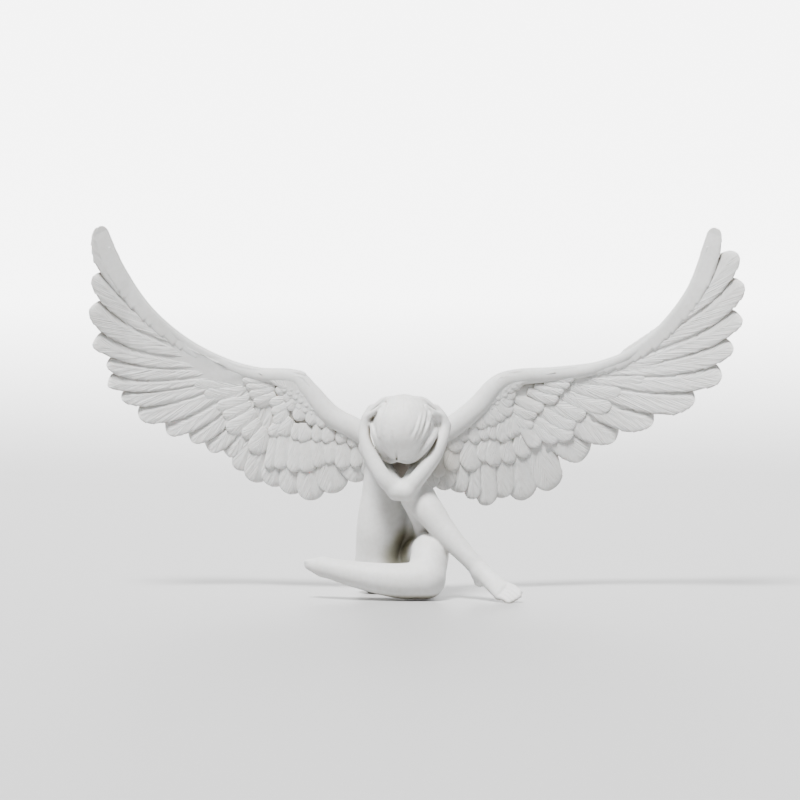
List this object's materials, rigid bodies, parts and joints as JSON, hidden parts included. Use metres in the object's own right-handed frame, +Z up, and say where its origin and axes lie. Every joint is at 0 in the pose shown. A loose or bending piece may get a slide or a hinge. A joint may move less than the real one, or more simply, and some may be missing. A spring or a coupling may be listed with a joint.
{
  "type": "seated angel figurine",
  "caption": "Small white cast figurine of a seated angel, head bowed into her raised arms, one knee up, with large spread wings of layered feathers",
  "frame": {"origin": "on the floor, under the middle of the figurine's bounding box", "axes": "-Y is the front that the bowed head and the toes face, +X is the viewer's right from the front, +Z is up; the underside of the seat lies on Z = 0"},
  "size_m": [0.1674, 0.0394, 0.0935],
  "materials": {
    "white_resin": "matte"
  },
  "bodies": {
    "root": {"angel": "white_resin"}
  },
  "joints": []
}
